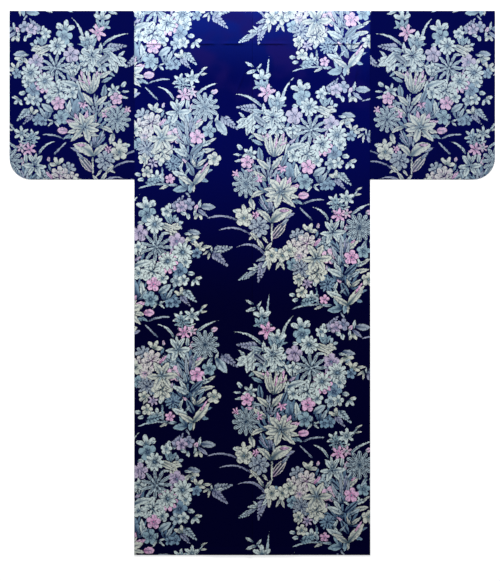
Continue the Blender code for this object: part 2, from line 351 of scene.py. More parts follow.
GREENERY = (leaf, broad, hatched, sliver, sprig, blade, stem, bud)
print(len(GREENERY), "kinds of leaf, stem and bud")

# %% Flowers
def lily(size, ink, arch):
    petals = ring(3, 0, size, 0.22 * size, 0.8, 0.75, ink, start=60, arch=0.04)
    petals += ring(3, 0, 1.05 * size, 0.25 * size, 0.8, 0.75, ink, arch=-0.04)
    return petals + ring(5, 0, 0.38 * size, 0.04 * size, 0.3, 0.3, "pale", PLAIN, start=20)


def trumpet(size, ink, arch):
    petals = []
    for turn, reach in ((-52, 0.45), (52, 0.45), (-24, 0.55), (26, 0.52)):
        petals.append(petal(0.5 * size, 0, turn, reach * size, 0.13 * size, 0.6, 0.7, ink))
    petals.append(petal(0, 0.04 * size, 4, 0.8 * size, 0.11 * size, 0.5, 0.5, ink))
    return petals + [petal(0, -0.05 * size, -4, 0.85 * size, 0.11 * size, 0.5, 0.5, ink)]


def upright(size, ink, arch):
    petals = []
    for turn in (-28, 24, -15, 12, -3):
        petals.append(petal(0, 0, turn, size, 0.11 * size, 0.5, 0.7, ink, RIBBED, turn / 260))
    return petals


def daisy(size, ink, arch):
    petals = ring(10, 0.05 * size, size, 0.24 * size, 0.6, 0.35, ink, PLAIN)
    return petals + disc(0.14 * size, "slate")


def mum(size, ink, arch):
    petals = ring(12, 0.25 * size, size, 0.17 * size, 0.6, 0.35, ink, LOOPED)
    return petals + ring(7, 0, 0.6 * size, 0.15 * size, 0.6, 0.4, ink, LOOPED, 14)


def aster(size, ink, arch):
    petals = ring(11, 0.08 * size, size, 0.125 * size, 0.7, 0.5, ink, LOOPED)
    petals += ring(6, 0, 0.5 * size, 0.08 * size, 0.7, 0.5, ink, PLAIN, 12)
    return petals + disc(0.1 * size, "pale")


def star(size, ink, arch):
    return ring(6, 0, size, 0.24 * size, 0.7, 0.6, ink, PLAIN, 18) + disc(0.1 * size, "pale")


def bloom(size, ink, arch):
    return ring(5, 0, size, 0.42 * size, 0.55, 0.35, ink, PLAIN, 10) + disc(0.12 * size, "slate")


def peony(size, ink, arch):
    petals = ring(8, 0.3 * size, size, 0.27 * size, 0.55, 0.35, ink, PLAIN)
    petals += ring(5, 0.1 * size, 0.7 * size, 0.22 * size, 0.6, 0.4, ink, RIBBED, 20)
    return petals + ring(3, 0, 0.42 * size, 0.15 * size, 0.6, 0.4, ink, PLAIN, 5)


def bell(size, ink, arch):
    petals = [petal(0, 0, turn, size, 0.22 * size, 0.5, 0.8, ink) for turn in (-34, 34, 0)]
    return petals + [petal(-0.1 * size, 0, 0, 0.5 * size, 0.22 * size, 0.5, 0.5, ink, LOOPED)]


def three(size, ink, arch):
    return [petal(0, 0, turn, size, 0.27 * size, 0.6, 0.45, ink, PLAIN) for turn in (-62, 62, 0)]


def spray(size, ink, arch):
    petals = [petal(0, 0, 0, size, 0.8, 0.1, 0.3, ink, PLAIN)]
    for i in range(9):
        side = 1 if i % 2 else -1
        foot = size * (0.04 + 0.09 * i)
        reach = size * (0.38 - 0.024 * i)
        petals.append(petal(foot, 0, side * 34, reach, 0.3 * reach, 0.6, 0.5, ink, PLAIN))
    return petals + [petal(0.85 * size, 0, 0, 0.25 * size, 0.07 * size, 0.6, 0.5, ink)]


FLOWERS = (lily, trumpet, upright, daisy, mum, aster, star, bloom, peony, bell, three, spray)
KINDS = {kind.__name__: kind for kind in GREENERY + FLOWERS}
print(len(FLOWERS), "kinds of flower")

# %% [markdown]
# ## The two bunches
#
# The repeat holds a large bunch and a small one. Each is charted in squares, from the foot of its
# stems, and what comes later in the list lies on top.

# %% Chart of the large bunch
Motif = namedtuple("Motif", "kind x y turn size ink arch", defaults=(0.0,))
LARGE_BUNCH = [
    ("sprig", 5, 55, 96, 27, "deep"),
    ("sprig", 24, 66, 78, 28, "deep"),
    ("sprig", 30, 98, 55, 24, "deep"),
    ("sprig", 55, 64, 62, 24, "deep"),
    ("sprig", 14, 116, 92, 26, "deep"),
    ("sprig", -12, 68, 112, 24, "deep"),
    ("sprig", 6, 36, 118, 22, "deep"),
    ("sprig", 3, 70, 94, 24, "grey"),
    ("leaf", -14, 72, 72, 16, "pale"),
    ("leaf", 21, 91, 81, 18, "white"),
    ("leaf", 3, 110, 70, 14, "pale"),
    ("three", 12, 119, -90, 10, "white"),
    ("leaf", -19, 123, 155, 13, "white"),
    ("sprig", 62, 100, 24, 24, "deep"),
    ("blade", 2, 161, 86, 36, "pale", 0.02),
    ("blade", 17, 143, 66, 36, "white", 0.12),
    ("blade", -3, 142, 156, 35, "white", -0.11),
    ("stem", -27, 28, 175, 34, "mauve", -0.12),
    ("stem", -13, 13, 170, 37, "mauve", -0.15),
    ("blade", 1, -8, 164, 36, "mauve", -0.24),
    ("stem", 38, 45, 11, 24, "grey", 0.08),
    ("spray", -7, 140, 175, 22, "mauve"),
    ("stem", -3, 172, 118, 12, "pale"),
    ("leaf", -11, 182, 151, 12, "white"),
    ("leaf", -8, 179, 198, 14, "white"),
    ("leaf", -8, 179, 55, 9, "white"),
    ("bell", -3, 159, 93, 14, "teal"),
    ("three", -3, 170, 92, 11, "white"),
    ("leaf", -4, 164, 205, 11, "teal"),
    ("leaf", 0, 165, -25, 9, "teal"),
    ("star", 2, 156, 0, 10.5, "pink"),
    ("bell", 11, 138, 88, 17, "teal"),
    ("three", 12, 148, 82, 11, "white"),
    ("leaf", 13, 143, 6, 11, "teal"),
    ("leaf", 11, 142, 120, 12, "pale"),
    ("leaf", -8, 116, 215, 12, "teal"),
    ("leaf", -19, 130, 138, 12, "white"),
    ("trumpet", -5, 138, 228, 31, "white"),
    ("leaf", -1, 136, 165, 17, "pale"),
    ("leaf", -1, 133, 92, 15, "white"),
    ("peony", 9, 130, 0, 14, "white"),
    ("lily", 8, 132, 22, 13, "white"),
    ("leaf", 14, 127, -42, 13, "white"),
    ("hatched", -11, 133, -38, 19, "grey"),
    ("leaf", 2, 127, 250, 16, "white"),
    ("three", -3, 122, -120, 9, "pale"),
    ("bell", 29, 111, 95, 17, "white"),
    ("bloom", 28, 119, 0, 6, "white"),
    ("bloom", 37, 152, 20, 10, "teal"),
    ("three", 36, 159, 100, 12, "white"),
    ("bud", 41, 160, 35, 6, "white"),
    ("bud", 27, 143, 0, 7, "white"),
    ("bell", 60, 143, 90, 12, "teal"),
    ("bud", 50, 156, 10, 7, "white"),
    ("bud", 59, 157, 95, 7, "white"),
    ("bud", 62, 155, 40, 7, "white"),
    ("spray", 62, 157, 51, 18, "mauve"),
    ("bloom", 56, 155, 0, 6.5, "white"),
    ("three", 66, 156, 60, 9, "mauve"),
    ("bloom", 78, 162, 0, 7, "mauve"),
    ("bloom", 71, 159, 0, 7, "lilac"),
    ("leaf", 84, 149, 82, 11, "white"),
    ("three", 88, 153, -60, 8, "cream"),
    ("bud", 70, 154, -20, 7, "white"),
    ("bud", 77, 153, -80, 7, "white"),
    ("leaf", 88, 157, 78, 12, "white"),
    ("bud", 84, 156, 60, 7, "blush"),
    ("broad", 90, 160, -4, 17, "grey"),
    ("leaf", 87, 157, -37, 15, "mauve"),
    ("three", 66, 142, 20, 8, "pale"),
    ("three", 80, 130, -70, 10, "cream"),
    ("broad", 77, 135, -10, 15, "grey"),
    ("leaf", 73, 133, -8, 11, "white"),
    ("bud", 80, 124, 30, 7, "pale"),
    ("three", 87, 118, 50, 9, "cream"),
    ("bloom", 86, 113, 0, 6, "slate"),
    ("leaf", 91, 119, 5, 12, "cream"),
    ("spray", 101, 115, 11, 22, "grey"),
    ("leaf", 105, 113, 25, 9, "white"),
    ("spray", 102, 114, -42, 21, "mauve"),
    ("leaf", 99, 116, 215, 10, "cream"),
    ("leaf", 99, 115, 262, 10, "cream"),
    ("leaf", 101, 113, 88, 8, "white"),
    ("bloom", 29, 133, 0, 9.5, "lilac"),
    ("leaf", 30, 124, 95, 12, "lilac"),
    ("trumpet", 50, 142, -22, 24, "cream"),
    ("leaf", 50, 133, 0, 11, "white"),
    ("bloom", 66, 125, 0, 9.5, "lilac"),
    ("leaf", 63, 121, -110, 10, "lilac"),
    ("aster", 46, 119, 0, 18, "pale"),
    ("daisy", 44, 142, 0, 10.5, "white"),
    ("daisy", 72, 114, 0, 11.5, "white"),
    ("bloom", 75, 104, 0, 7, "white"),
    ("bloom", 69, 95, 0, 9, "slate"),
    ("bloom", 66, 85, 20, 7, "pale"),
    ("bloom", 73, 86, 0, 6.5, "white"),
    ("bud", 77, 93, -5, 8, "white"),
    ("three", 84, 87, -50, 8.5, "white"),
    ("leaf", 84, 87, 25, 8, "cream"),
    ("daisy", 57, 103, 0, 12, "pink"),
    ("daisy", 57, 105, 16, 10.5, "white"),
    ("peony", 42, 95, 0, 13.5, "white"),
    ("leaf", 22, 99, 16, 24, "white", 0.05),
    ("leaf", 23, 105, 33, 11, "lilac"),
    ("bloom", 28, 93, 15, 7.5, "white"),
    ("bloom", 52, 88, 0, 7, "white"),
    ("broad", 26, 70, 100, 20, "slate"),
    ("leaf", 33, 68, 97, 20, "white"),
    ("leaf", 30, 66, 60, 14, "pale"),
    ("hatched", 11, 72, 42, 15, "slate"),
    ("bloom", 43, 82, 0, 8.2, "pink"),
    ("leaf", 2, 108, 152, 19, "cream"),
    ("leaf", -2, 104, 155, 15, "teal"),
    ("sliver", 5, 107, 140, 13, "pink"),
    ("leaf", 14, 103, 68, 17, "pink"),
    ("leaf", 5, 103, 104, 16, "blush"),
    ("upright", 9, 92, 87, 27, "cream"),
    ("sliver", 10, 100, 78, 14, "pink"),
    ("sliver", 14, 103, 25, 11, "pink"),
    ("leaf", 10, 92, 58, 16, "cream"),
    ("star", 17, 81, 0, 6, "pink"),
    ("hatched", -4, 86, 97, 18, "slate"),
    ("hatched", 16, 82, 66, 17, "slate"),
    ("bud", -23, 99, 130, 8, "white"),
    ("leaf", -23, 94, 176, 10, "white"),
    ("leaf", -21, 89, 188, 11, "white"),
    ("star", -15, 95, 0, 9, "white"),
    ("bloom", -18, 87, 0, 7.5, "pink"),
    ("leaf", 5, 79, 140, 20, "cream"),
    ("leaf", 6, 79, 51, 21, "cream"),
    ("stem", 5, 92, -93, 14, "grey"),
    ("leaf", -13, 82, 0, 12, "pale"),
    ("leaf", 2, 68, 144, 20, "cream"),
    ("star", -29, 75, 0, 5, "pink"),
    ("leaf", -21, 78, 5, 11, "pink"),
    ("star", -7, 70, 10, 6, "pink"),
    ("mum", -19, 65, 0, 15.5, "pale"),
    ("broad", 48, 73, 34, 17, "pale"),
    ("leaf", 56, 66, 62, 15, "pale"),
    ("three", 71, 71, 90, 9, "cream"),
    ("spray", 73, 77, -45, 19, "pale"),
    ("spray", 70, 71, -48, 15, "mauve"),
    ("bloom", 59, 63, 0, 5.5, "slate"),
    ("bloom", 65, 64, 0, 6, "slate"),
    ("bloom", 40, 67, 0, 9, "teal"),
    ("leaf", 47, 64, -125, 10, "white"),
    ("leaf", 48, 63, -40, 9, "white"),
    ("leaf", 48, 63, 17, 8, "white"),
    ("leaf", 46, 64, 80, 8, "pale"),
    ("stem", 85, 49, 52, 14, "pale"),
    ("leaf", 90, 58, 28, 9, "cream"),
    ("leaf", 89, 54, 8, 9, "cream"),
    ("stem", 5, 38, 92, 17, "grey"),
    ("stem", 0, 41, 110, 15, "grey"),
    ("stem", 9, 27, 93, 18, "grey"),
    ("leaf", 15, 60, 100, 17, "pink"),
    ("leaf", 20, 58, 25, 18, "blush"),
    ("leaf", 21, 60, 68, 15, "pink"),
    ("leaf", 0, 57, 205, 18, "cream", -0.12),
    ("broad", -15, 51, -72, 14, "cream"),
    ("stem", -6, 50, -52, 16, "mauve"),
    ("leaf", 6, 38, 96, 16, "mauve"),
    ("leaf", 4, 62, 82, 12, "pink"),
    ("leaf", 8, 60, 112, 16, "teal"),
    ("leaf", 26, 58, 36, 13, "pink"),
    ("leaf", 16, 57, 118, 16, "cream"),
    ("leaf", 17, 57, 45, 16, "cream"),
    ("leaf", 30, 46, 168, 16, "cream"),
    ("leaf", 12, 50, 190, 14, "cream"),
    ("leaf", 14, 58, 172, 18, "cream"),
    ("leaf", 19, 55, -14, 18, "cream"),
    ("lily", 16, 57, 12, 18, "cream"),
    ("leaf", 17, 55, -45, 21, "cream"),
    ("bud", 33, 53, 5, 12, "pink"),
    ("leaf", 29, 50, -32, 12, "teal"),
    ("leaf", 33, 45, 150, 9, "teal"),
    ("bud", -26, 37, 165, 7, "white"),
    ("three", -21, 36, 95, 10, "cream"),
    ("bloom", -21, 31, 0, 10, "cream"),
    ("leaf", -13, 26, 160, 9, "cream"),
    ("star", -9, 34, 0, 5, "pink"),
    ("hatched", 7, 10, 51, 25, "rose"),
    ("leaf", 16, 23, 44, 13, "grey"),
    ("peony", -6, 22, 0, 11.5, "grey"),
    ("leaf", -8, 15, 215, 12, "cream"),
    ("leaf", -3, 13, -50, 11, "cream"),
    ("leaf", 6, 26, 139, 22, "cream", -0.10),
    ("leaf", 17, 31, 20, 16, "mauve"),
    ("broad", 6, 27, 29, 27, "cream", 0.10),
    ("leaf", 14, 38, 4, 12, "pink"),
    ("stem", 7, 26, -91, 21, "cream"),
    ("leaf", -6, 8, 135, 15, "cream"),
    ("leaf", -1, 0, 125, 15, "cream"),
    ("leaf", 0, -2, 52, 14, "cream"),
]
print(len(LARGE_BUNCH), "motifs in the large bunch")

# %% Chart of the small bunch
SMALL_BUNCH = [
    ("sprig", -30, 28, 86, 24, "deep"),
    ("sprig", -6, 28, 104, 26, "deep"),
    ("sprig", -1, 58, 92, 30, "deep"),
    ("sprig", 4, 22, 62, 22, "deep"),
    ("sprig", -24, 58, 76, 22, "deep"),
    ("peony", -22, 66, 0, 9, "pale"),
    ("leaf", -4, 80, 84, 15, "white"),
    ("leaf", -3, 62, 100, 20, "pale"),
    ("leaf", -1, 58, 82, 18, "mauve"),
    ("leaf", 2, 28, 70, 18, "pale"),
    ("leaf", 8, 44, 20, 17, "white"),
    ("broad", 1, 8, 258, 13, "teal"),
    ("leaf", -7, 10, 108, 15, "white"),
    ("three", -34, 12, 90, 9, "white"),
    ("bloom", -46, 54, 0, 8, "rose"),
    ("spray", -79, 53, 200, 11, "grey"),
    ("spray", -94, 37, 208, 15, "pale"),
    ("leaf", -88, 41, 212, 17, "grey"),
    ("leaf", -86, 42, 184, 14, "white"),
    ("leaf", -86, 41, 137, 10, "white"),
    ("spray", -82, 49, 256, 22, "mauve"),
    ("leaf", -79, 47, 243, 16, "mauve"),
    ("leaf", -75, 52, 228, 15, "white"),
    ("leaf", -76, 54, 268, 16, "cream"),
    ("broad", -56, 51, 279, 13, "slate"),
    ("leaf", -65, 50, 243, 12, "cream"),
    ("leaf", -65, 50, 292, 12, "cream"),
    ("bloom", -69, 56, 20, 7, "slate"),
    ("bloom", -74, 55, 0, 8.5, "cream"),
    ("bloom", -63, 55, 35, 8, "cream"),
    ("stem", -33, 90, 135, 20, "grey"),
    ("blade", -17, 90, 143, 25, "white", -0.14),
    ("blade", 5, 95, 28, 29, "white", 0.07),
    ("stem", -18, 5, 186, 39, "pale", -0.07),
    ("star", -11, 109, 0, 9, "white"),
    ("aster", -8, 105, 0, 10, "teal"),
    ("star", 1, 112, 10, 9.5, "white"),
    ("leaf", -3, 100, 29, 10, "white"),
    ("star", -7, 95, 0, 9, "pink"),
    ("star", 1, 97, 0, 6.5, "blush"),
    ("leaf", -1, 77, 77, 12, "blush"),
    ("bud", 20, 97, 20, 8, "blush"),
    ("mum", 14, 83, 0, 16, "pale"),
    ("bloom", 18, 59, 0, 8, "teal"),
    ("leaf", 22, 71, 235, 14, "pale"),
    ("leaf", 24, 66, 71, 12, "white"),
    ("broad", 25, 70, -55, 21, "pale"),
    ("spray", 30, 74, -38, 22, "mauve"),
    ("three", -37, 79, 66, 10, "cream"),
    ("bud", -28, 82, 80, 6, "blush"),
    ("leaf", -30, 72, 70, 10, "slate"),
    ("peony", -48, 74, 0, 9, "grey"),
    ("peony", -52, 63, 0, 10, "rose"),
    ("peony", -39, 67, 0, 12, "rose"),
    ("bloom", -56, 60, 0, 8, "cream"),
    ("leaf", -32, 64, 48, 13, "pink"),
    ("hatched", -3, 58, 141, 18, "slate"),
    ("hatched", -2, 58, 120, 17, "slate"),
    ("leaf", -2, 61, 116, 14, "cream"),
    ("stem", 0, 67, 56, 12, "pale"),
    ("lily", -13, 78, 5, 14, "white"),
    ("leaf", -12, 80, 60, 14, "white"),
    ("leaf", -13, 82, 100, 12, "white"),
    ("leaf", 0, 60, 37, 19, "cream"),
    ("leaf", 5, 67, 35, 8, "pink"),
    ("bloom", -53, 46, 0, 7, "teal"),
    ("bud", -50, 46, 0, 6, "cream"),
    ("mum", -44, 41, 0, 11, "grey"),
    ("bloom", -47, 31, 0, 6.6, "cream"),
    ("leaf", -45, 30, -110, 9, "cream"),
    ("star", -38, 27, 0, 6.5, "lilac"),
    ("leaf", -14, 32, 187, 14, "teal"),
    ("leaf", -24, 35, 240, 13, "pale"),
    ("bud", -31, 30, -85, 7, "white"),
    ("mum", -18, 26, 0, 9, "slate"),
    ("leaf", -19, 38, 180, 12, "lilac"),
    ("leaf", -20, 37, 80, 10, "lilac"),
    ("bloom", -16, 54, 0, 9, "blush"),
    ("peony", -29, 38, 0, 12, "cream"),
    ("sprig", -3, 44, 97, 32, "grey"),
    ("leaf", -4, 36, 122, 17, "white"),
    ("leaf", -28, 50, 75, 16, "cream"),
    ("lily", -29, 52, 3, 17, "cream"),
    ("hatched", -2, 45, 119, 15, "slate"),
    ("leaf", -5, 44, 100, 14, "pale"),
    ("bloom", 6, 53, 0, 8.5, "pink"),
    ("hatched", -1, 35, 42, 20, "slate"),
    ("leaf", 15, 46, 115, 8, "white"),
    ("leaf", 16, 47, 29, 12, "cream"),
    ("leaf", 8, 38, 11, 18, "cream"),
    ("leaf", 4, 33, 30, 15, "pale"),
    ("leaf", 5, 43, 154, 9, "white"),
    ("leaf", -1, 34, 157, 22, "white"),
    ("leaf", -2, 33, 130, 10, "pale"),
    ("leaf", -2, 26, 143, 10, "blush"),
    ("hatched", 3, 14, 118, 18, "slate"),
    ("leaf", 5, 22, 113, 12, "cream"),
    ("bloom", 23, 31, 0, 8, "cream"),
    ("leaf", 5, 23, 38, 15, "cream"),
    ("leaf", -12, 19, 67, 12, "white"),
    ("leaf", -6, 16, 50, 10, "pale"),
    ("leaf", 12, 17, 20, 12, "slate"),
    ("broad", 9, 11, -16, 10, "slate"),
    ("leaf", 2, 5, 50, 29, "cream"),
    ("sliver", 9, 16, 56, 17, "pink"),
    ("bloom", -44, 18, 0, 6.6, "cream"),
    ("bud", -50, 15, 170, 7, "white"),
    ("bud", -47, 11, 190, 7, "white"),
    ("spray", -46, 7, 14, 20, "teal"),
    ("stem", -29, 23, -86, 12, "teal"),
    ("leaf", -28, 6, 92, 10, "pale"),
    ("bloom", -21, 11, 0, 5.6, "pink"),
    ("broad", -3, 2, 188, 17, "teal"),
    ("broad", -4, 2, 122, 16, "teal"),
    ("leaf", -7, 6, 80, 13, "teal"),
    ("leaf", -2, 11, 155, 22, "white"),
    ("leaf", 3, 5, 149, 21, "cream"),
    ("leaf", 3, 6, -95, 10, "cream"),
    ("leaf", -22, 5, 203, 12, "cream"),
    ("leaf", -13, 5, 180, 12, "pale"),
    ("stem", -5, -2, -53, 7, "grey"),
]
print(len(SMALL_BUNCH), "motifs in the small bunch")

# %% [markdown]
# ## Setting the bunches out on the cloth
#
# The bunches step down the cloth: the next column across starts about half a repeat lower. The
# lattice runs unbroken across the back. Each sleeve takes the same print from another
# place on the bolt, and the left sleeve mirrors the right.

# %% The repeat
DRAWN = 0.905  # motifs are drawn a little under their charted size, which leaves ground between them
REPEAT_LENGTH = 237.6 * SQUARE
NEXT_COLUMN = (154.5 * SQUARE, -120.4 * SQUARE)
LARGE_FOOT = (0.0352, 0.0934)  # where the stems start, in the column at the back's middle
SMALL_FOOT = (-0.1689, 0.2561)
FAR = 9  # columns and repeats each way, enough to reach past every piece


def bunch(motifs):
    """All petals of a bunch, in metres from its foot."""
    petals = []
    for m in (Motif(*row) for row in motifs):
        petals += turned(KINDS[m.kind](DRAWN * m.size, m.ink, m.arch), m.x, m.y, m.turn)
    return [
        p._replace(x=p.x * SQUARE, y=p.y * SQUARE, length=p.length * SQUARE, half=p.half * SQUARE)
        for p in petals
    ]


LARGE_PETALS = bunch(LARGE_BUNCH)
SMALL_PETALS = bunch(SMALL_BUNCH)


def printed(low, high, shift=(0.0, 0.0), mirror=False, scale=1.0):
    """The petals that reach into a rectangle of flat cloth, back ones first."""
    petals = []
    low = np.array(low) / scale
    high = np.array(high) / scale
    for column in range(-FAR, FAR + 1):
        for row in range(-FAR, FAR + 1):
            x = shift[0] + column * NEXT_COLUMN[0]
            y = shift[1] + column * NEXT_COLUMN[1] + row * REPEAT_LENGTH
            for foot, bunch_petals in ((SMALL_FOOT, SMALL_PETALS), (LARGE_FOOT, LARGE_PETALS)):
                for p in bunch_petals:
                    px = x + foot[0] + p.x
                    py = y + foot[1] + p.y - TOP
                    if mirror:
                        p = p._replace(turn=180 - p.turn, arch=-p.arch)
                        px = -px
                    near = p.length + p.half
                    if low[0] - near < px < high[0] + near and low[1] - near < py < high[1] + near:
                        length = scale * p.length
                        half = scale * p.half
                        petals.append(p._replace(x=scale * px, y=scale * py, length=length, half=half))
    return petals


print(len(LARGE_PETALS), "petals in the large bunch and", len(SMALL_PETALS), "in the small one")

# %% [markdown]
# ## Cutting flat cloth into faces
#
# The outline, the petals and the lines where the cloth bends are handed to a triangulation that
# keeps every one of them as an edge and says which petals lie over each face. The topmost one is
# the one that prints. A grid of loose points between them lets the cloth follow its creases.

# %% Corners of a petal
PETAL_STEPS = 6  # from root to tip along one side


def petal_outline(p):
    """Corners of a petal on flat cloth."""
    peak = p.root / (p.root + p.tip)
    tallest = peak**p.root * (1 - peak) ** p.tip
    over = []
    under = []
    for i in range(PETAL_STEPS + 1):
        u = (1 - math.cos(math.pi * i / PETAL_STEPS)) / 2
        wide = p.half * u**p.root * (1 - u) ** p.tip / tallest
        middle = p.arch * p.length * 4 * u * (1 - u)
        over.append((u * p.length, middle + wide))
        under.append((u * p.length, middle - wide))
    cos = math.cos(math.radians(p.turn))
    sin = math.sin(math.radians(p.turn))
    corners = under + over[-2:0:-1]
    return [Vector((p.x + a * cos - b * sin, p.y + a * sin + b * cos)) for a, b in corners]


print("a petal has", 2 * PETAL_STEPS, "corners")

# %% Flat cutting
EDGE_RUN = 0.0014  # width of the rounding at a cloth's edge
TRIANGLES_INSIDE = 1  # asks the triangulation for triangles inside the outlines only
WELD = 1e-7  # points nearer than this become one


def divided(corners, step):
    """A closed outline with points no further apart than step."""
    points = []
    for (ax, ay), (bx, by) in zip(corners, corners[1:] + corners[:1]):
        count = max(1, math.ceil(math.dist((ax, ay), (bx, by)) / step))
        points += [(ax + (bx - ax) * i / count, ay + (by - ay) * i / count) for i in range(count)]
    return points


def inside_outline(points, corners):
    """Which points lie within a closed outline."""
    within = np.zeros(len(points), bool)
    for (ax, ay), (bx, by) in zip(corners, corners[1:] + corners[:1]):
        if ay != by:
            crossing = (points[:, 1] > ay) != (points[:, 1] > by)
            within ^= crossing & (points[:, 0] < ax + (bx - ax) * (points[:, 1] - ay) / (by - ay))
    return within


def edge_ring(edge):
    """Points just inside each point of a closed outline, where the rounded edge begins."""
    spots = np.array(edge)
    heading = np.roll(spots, -1, 0) - np.roll(spots, 1, 0)
    within = np.stack([-heading[:, 1], heading[:, 0]], 1)
    return spots + EDGE_RUN * within / np.linalg.norm(within, axis=1, keepdims=True)


def cut_flat(outline, petals, step, rows=(), spots=()):
    """Flat vertices, triangles and the petal on each triangle, where 0 is bare ground."""
    corners = np.array(outline)
    low = corners.min(0)
    high = corners.max(0)
    edge = divided(outline, step)
    points = [Vector(p) for p in edge]
    faces = [list(range(len(points)))]
    for p in petals:
        shape = petal_outline(p)
        faces.append(list(range(len(points), len(points) + len(shape))))
        points += shape
    points += [Vector(p) for p in edge_ring(edge)]
    margin = 0.3 * step
    xs = np.linspace(low[0] + margin, high[0] - margin, 1 + math.ceil((high[0] - low[0]) / step))
    ys = np.linspace(low[1] + margin, high[1] - margin, 1 + math.ceil((high[1] - low[1]) / step))
    grid = np.array(np.meshgrid(xs, ys)).reshape(2, -1).T
    grid = np.concatenate([grid, np.array(spots).reshape(-1, 2)])
    grid = grid[inside_outline(grid, outline)]
    points += [Vector(p) for p in grid]
    lines = []
    for row in rows:
        span = [x for x in xs if inside_outline(np.array([[x, row]]), outline)[0]]
        lines += [(len(points) + i, len(points) + i + 1) for i in range(len(span) - 1)]
        points += [Vector((x, row)) for x in span]
    cut = delaunay_2d_cdt(points, lines, faces, TRIANGLES_INSIDE, WELD, True)
    verts, _, tris, _, _, origins = cut
    kept = [(tri, max(o)) for tri, o in zip(tris, origins) if 0 in o]
    flat = np.array([tuple(v) for v in verts])
    tris = np.array([tri for tri, _ in kept])
    used, places = np.unique(tris, return_inverse=True)
    return flat[used], places.reshape(-1, 3), np.array([top for _, top in kept])


print("the cloth's edge is rounded over", 1000 * EDGE_RUN, "mm")

# %% [markdown]
# ## From flat cloth to a laid shell
#
# Each piece is a closed thin shell: a printed outer skin, a plain inner skin, and rounded edges
# between them. Where two layers are sewn together at the side, the edges join those layers
# instead, as a real seam does.

# %% Round the edge
def edge_loop(tris, flat, corner):
    """The vertices round the edge of a cut, in order, from the one on that corner and back to it."""
    halves = {half for a, b, c in tris.tolist() for half in ((a, b), (b, c), (c, a))}
    following = {a: b for a, b in halves if (b, a) not in halves}
    loop = [min(following, key=lambda v: math.dist(flat[v], corner))]
    while len(loop) == 1 or loop[-1] != loop[0]:
        loop.append(following[loop[-1]])
    return loop


def runs_of(loop, flat, sewn):
    """The edge as stretches that are sewn or free, each a list of vertices."""
    runs = []
    for a, b in zip(loop, loop[1:]):
        kind = sewn(*((flat[a] + flat[b]) / 2))
        if runs and runs[-1][0] == kind:
            runs[-1][1].append(b)
        else:
            runs.append((kind, [a, b]))
    return runs


def shares(run, flat):
    """How far along the stretch each vertex is, from 0 to 1."""
    steps = np.linalg.norm(np.diff(flat[run], axis=0), axis=1)
    return np.concatenate([[0], np.cumsum(steps)]) / steps.sum()


def bridge(a, at_a, b, at_b):
    """Triangles between two chains of vertices that run side by side."""
    faces = []
    i = j = 0
    while i < len(a) - 1 or j < len(b) - 1:
        if j == len(b) - 1 or (i < len(a) - 1 and at_a[i + 1] <= at_b[j + 1]):
            faces.append((a[i], a[i + 1], b[j]))
            i += 1
        else:
            faces.append((a[i], b[j + 1], b[j]))
            j += 1
    return faces


def unsewn(x, along):
    return False


print("bridging a square takes", len(bridge([0, 1], [0, 1], [2, 3], [0, 1])), "triangles")

# %% Closing the shell
EDGE_BULGE = GAP / 2  # the rims of two pieces meet in the seam
EDGE_PINCH = 0.36  # share of the thickness by which each skin comes in at an edge
Shell = namedtuple("Shell", "points faces flat over skin")


